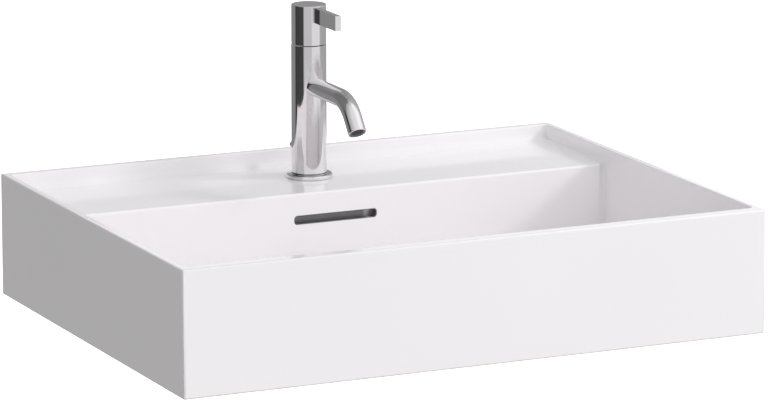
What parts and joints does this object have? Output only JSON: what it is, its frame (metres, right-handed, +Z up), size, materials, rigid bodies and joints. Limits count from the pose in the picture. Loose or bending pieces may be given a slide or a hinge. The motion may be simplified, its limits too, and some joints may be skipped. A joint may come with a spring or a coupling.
{
  "type": "washbasin",
  "caption": "Rectangular glazed washbasin with a tap ledge, a wall overflow slot, a lever mixer tap and a pop-up waste worked by a knob behind the tap.",
  "frame": {"origin": "on the wall plane, midway between the two wall bolt holes", "axes": "+X to the right seen from the front, +Y into the wall, +Z up"},
  "size_m": [0.6, 0.46, 0.335],
  "materials": {
    "glaze": "glossy white glaze",
    "chrome": "polished chrome plate on brass",
    "stainless": "satin stainless steel",
    "brass": "plain turned brass",
    "rubber": "matt black rubber",
    "white_plastic": "matt white plastic",
    "grey_plastic": "matt grey plastic",
    "disc_ceramic": "lapped white ceramic"
  },
  "bodies": {
    "basin": {"basin_body": "glaze", "overflow_liner": "stainless", "tap_body": "chrome", "base_flange": "chrome", "base_seal": "rubber", "spout_tube": "chrome", "aerator_housing": "chrome", "aerator_insert": "grey_plastic", "cartridge_base": "white_plastic", "cartridge_seals": "rubber", "fixed_disc": "disc_ceramic", "cartridge_shell": "white_plastic", "cartridge_nut": "brass", "mounting_stud": "brass", "clamp_pad": "rubber", "clamp_washer": "stainless", "fixing_nut": "brass", "ball_seat": "white_plastic", "ball_nut": "chrome", "waste_flange": "chrome", "waste_top_seal": "rubber", "waste_bottom_seal": "rubber", "slip_washer": "white_plastic", "back_nut": "brass", "waste_tee": "chrome"},
    "swivel": {"disc_carrier": "grey_plastic", "lever_pin": "stainless"},
    "handle": {"lever_stem": "brass", "handle_cap": "chrome", "lever_blade": "chrome", "handle_screw": "stainless"},
    "flow_disc": {"moving_disc": "disc_ceramic"},
    "pull_rod": {"waste_knob": "chrome", "lift_rod": "chrome", "rod_clevis": "grey_plastic", "clevis_screw": "stainless"},
    "ball_lever": {"ball_rod": "stainless"},
    "plug": {"plug_body": "grey_plastic", "plug_seal": "rubber", "plug_cap": "chrome"}
  },
  "joints": [
    {"name": "handle_turn", "type": "hinge", "parent": "basin", "child": "swivel", "pos_m": [0, -0.07, 0.182], "axis": [0, 0, 1], "range_deg": [-45, 45]},
    {"name": "handle_lift", "type": "hinge", "parent": "swivel", "child": "handle", "pos_m": [0, -0.07, 0.1888], "axis": [-1, 0, 0], "range_deg": [0, 20]},
    {"name": "disc_slide", "type": "slide", "parent": "swivel", "child": "flow_disc", "axis": [0, 1, 0], "range_m": [-0.0064, 0]},
    {"name": "knob_lift", "type": "slide", "parent": "basin", "child": "pull_rod", "axis": [0, 0, 1], "range_m": [0, 0.032]},
    {"name": "ball_tilt", "type": "hinge", "parent": "basin", "child": "ball_lever", "pos_m": [0, -0.203, -0.086], "axis": [1, 0, 0], "range_deg": [0, 12.45]},
    {"name": "plug_drop", "type": "slide", "parent": "basin", "child": "plug", "axis": [0, 0, 1], "range_m": [-0.007, 0]}
  ],
  "couplings": [
    {"joint": "disc_slide", "follows": "handle_lift", "m_per_rad": -0.018207},
    {"joint": "ball_tilt", "follows": "knob_lift", "rad_per_m": 6.7761},
    {"joint": "plug_drop", "follows": "knob_lift", "ratio": -0.21769}
  ]
}
